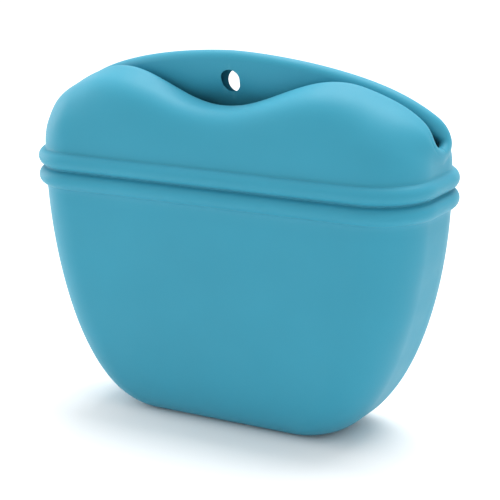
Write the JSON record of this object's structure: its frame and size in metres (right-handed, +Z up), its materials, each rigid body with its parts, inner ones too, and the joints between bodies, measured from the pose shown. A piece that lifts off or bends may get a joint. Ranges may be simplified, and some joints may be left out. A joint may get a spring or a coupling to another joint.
{
  "type": "treat pouch",
  "caption": "Moulded silicone treat pouch with rounded bottom corners, two ribs, a domed magnetic slit mouth with a finger dip, a hanging hole and a belt clip.",
  "frame": {"origin": "centre of the flat base", "axes": "+X along the pouch's width, the front with the finger dip faces -Y, +Z up"},
  "size_m": [0.1248, 0.0522, 0.1053],
  "materials": {
    "silicone": "soft matt moulded silicone, teal",
    "magnet": "nickel plated",
    "clip_plastic": "fine matt moulded plastic, same teal as the silicone",
    "plate_plastic": "black nylon",
    "screw_steel": "zinc plated"
  },
  "bodies": {
    "root": {"pouch_body": "silicone", "back_lip": "silicone", "magnet_back_right": "magnet", "magnet_back_left": "magnet", "magnet_covers_back": "silicone", "clip_base": "clip_plastic", "backing_plate": "plate_plastic", "clip_screws": "screw_steel"},
    "front_lip_body": {"front_lip": "silicone", "magnet_front_right": "magnet", "magnet_front_left": "magnet", "magnet_covers_front": "silicone"},
    "clip_arm_body": {"clip_arm": "clip_plastic"}
  },
  "joints": [
    {"name": "mouth_open", "type": "hinge", "parent": "root", "child": "front_lip_body", "pos_m": [0, -0.02, 0.076], "axis": [1, 0, 0], "range_deg": [0, 28], "stiffness_Nm_per_rad": 0.06},
    {"name": "clip_flex", "type": "hinge", "parent": "root", "child": "clip_arm_body", "pos_m": [0, 0.0251, 0.0643], "axis": [1, 0, 0], "range_deg": [0, 12], "stiffness_Nm_per_rad": 1}
  ]
}
